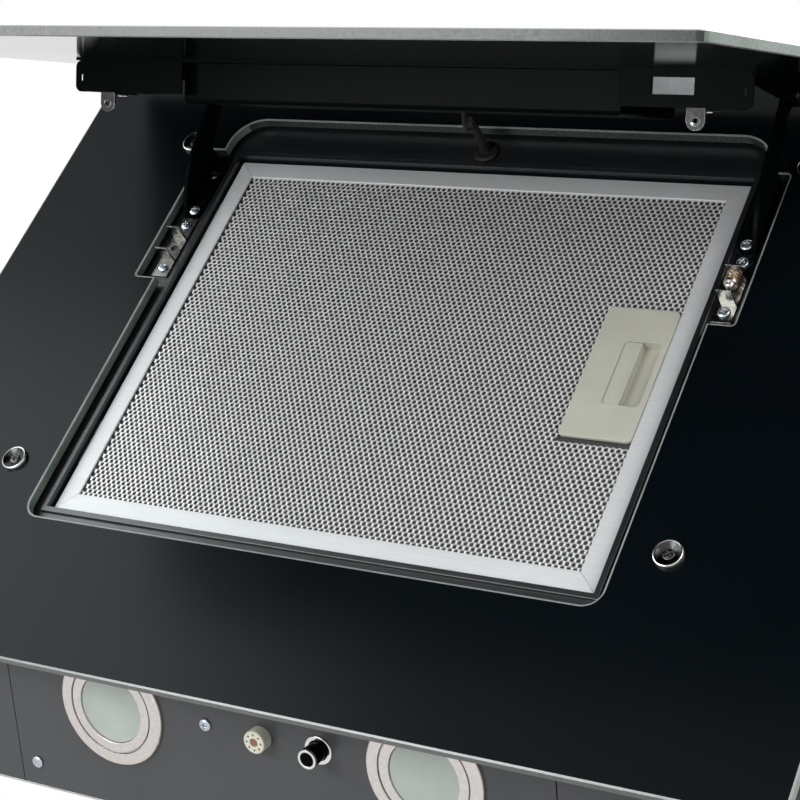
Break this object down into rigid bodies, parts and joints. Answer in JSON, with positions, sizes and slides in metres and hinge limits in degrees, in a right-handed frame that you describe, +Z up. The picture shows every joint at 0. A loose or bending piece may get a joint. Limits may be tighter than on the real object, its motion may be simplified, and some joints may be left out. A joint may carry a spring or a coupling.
{
  "type": "wall mount range hood",
  "caption": "Slanted black glass wall hood with its front door swung open over a mesh grease filter, lamps, dial, blower and chimney.",
  "frame": {"origin": "centre of the four wall fixing holes, on the wall plane", "axes": "+X to the right seen from the room, +Y into the wall, +Z up"},
  "size_m": [0.6, 0.4422, 0.7205],
  "materials": {
    "black_glass": "gloss",
    "frosted_glass": "frosted",
    "foam_seal": "matt foam",
    "moulded_rubber": "matt",
    "bright_zinc": "bright zinc plate",
    "polished_steel": "polished",
    "satin_nickel": "satin",
    "black_steel": "satin black",
    "grey_steel": "satin dark grey",
    "plated_sheet": "galvanised",
    "aluminium": "anodised satin",
    "expanded_aluminium": "expanded mesh",
    "grey_plastic": "matt",
    "black_plastic": "matt",
    "black_gloss_plastic": "gloss",
    "ivory_plastic": "gloss",
    "brass": "drawn wire",
    "spring_steel": "drawn wire",
    "motor_steel": "painted"
  },
  "bodies": {
    "hood": {"back_panel": "plated_sheet", "blower_housing": "black_plastic", "blower_motor": "motor_steel", "button_bezel": "polished_steel", "catch_bracket_left": "bright_zinc", "catch_bracket_right": "bright_zinc", "catch_spring": "brass", "chimney_bracket": "plated_sheet", "control_box": "black_plastic", "control_switches": "black_plastic", "cup_washers": "polished_steel", "door_lead": "moulded_rubber", "filter_bay": "plated_sheet", "filter_core": "expanded_aluminium", "filter_frame": "aluminium", "filter_front_mesh": "expanded_aluminium", "filter_handle": "grey_plastic", "filter_rear_mesh": "expanded_aluminium", "fixed_glass": "black_glass", "front_panel": "grey_steel", "glass_screws": "bright_zinc", "glass_seal": "foam_seal", "hinge_bracket_left": "black_steel", "hinge_bracket_right": "black_steel", "hinge_pins": "bright_zinc", "hinge_washers_and_clips": "bright_zinc", "lamp_cans": "plated_sheet", "lamp_inner_rings": "satin_nickel", "lamp_lenses": "frosted_glass", "lamp_trim_rings": "satin_nickel", "latch_spring": "spring_steel", "lead_grommet": "moulded_rubber", "lower_chimney": "black_steel", "mains_gland": "black_plastic", "outlet_collar": "black_plastic", "pocket_screws": "bright_zinc", "side_panel_left": "grey_steel", "side_panel_right": "grey_steel", "top_panel": "plated_sheet", "underside_panel": "grey_steel", "underside_screws": "bright_zinc", "underside_wings": "grey_steel"},
    "door": {"door_glass": "black_glass", "door_rail": "black_steel", "rail_window_plate": "satin_nickel", "door_control_case": "black_plastic", "door_hinge_arms": "black_steel", "door_lugs": "bright_zinc", "lug_rivets": "bright_zinc"},
    "latch": {"filter_latch": "grey_plastic"},
    "impeller": {"impeller": "black_plastic", "motor_shaft": "spring_steel"},
    "dial": {"speed_dial": "ivory_plastic"},
    "button": {"light_button": "black_gloss_plastic", "button_end_ring": "polished_steel"},
    "flap_front": {"outlet_flap_front": "black_plastic"},
    "flap_rear": {"outlet_flap_rear": "black_plastic"},
    "chimney_upper": {"upper_chimney": "black_steel"},
    "plunger": {"catch_plunger": "satin_nickel"}
  },
  "joints": [
    {"name": "door_hinge", "type": "hinge", "parent": "hood", "child": "door", "pos_m": [0, -0.35147, 0.14078], "axis": [-1, 0, 0], "range_deg": [-48, 0], "deforming": ["door_lead"]},
    {"name": "latch_slide", "type": "slide", "parent": "hood", "child": "latch", "axis": [-1, 0, 0], "range_m": [0, 0.004], "stiffness_N_per_m": 200, "springref_m": -0.003, "deforming": ["latch_spring"]},
    {"name": "catch_plunger_slide", "type": "slide", "parent": "hood", "child": "plunger", "axis": [0, -0.5736, 0.8192], "range_m": [0, 0.003], "stiffness_N_per_m": 400, "springref_m": -0.002, "deforming": ["catch_spring"]},
    {"name": "speed_dial_turn", "type": "hinge", "parent": "hood", "child": "dial", "pos_m": [0, -0.064, -0.15], "axis": [0, 0, 1], "range_deg": [0, 270]},
    {"name": "light_button_press", "type": "slide", "parent": "hood", "child": "button", "axis": [0, 0, 1], "range_m": [0, 0.0025], "stiffness_N_per_m": 400, "springref_m": -0.002},
    {"name": "impeller_spin", "type": "hinge", "parent": "hood", "child": "impeller", "pos_m": [0, -0.158, 0.084], "axis": [1, 0, 0], "continuous": true},
    {"name": "outlet_flap_front_swing", "type": "hinge", "parent": "hood", "child": "flap_front", "pos_m": [0, -0.119, 0.199], "axis": [-1, 0, 0], "range_deg": [0, 75]},
    {"name": "outlet_flap_rear_swing", "type": "hinge", "parent": "hood", "child": "flap_rear", "pos_m": [0, -0.113, 0.199], "axis": [1, 0, 0], "range_deg": [0, 75]},
    {"name": "upper_chimney_slide", "type": "slide", "parent": "hood", "child": "chimney_upper", "axis": [0, 0, 1], "range_m": [0, 0.25]}
  ]
}
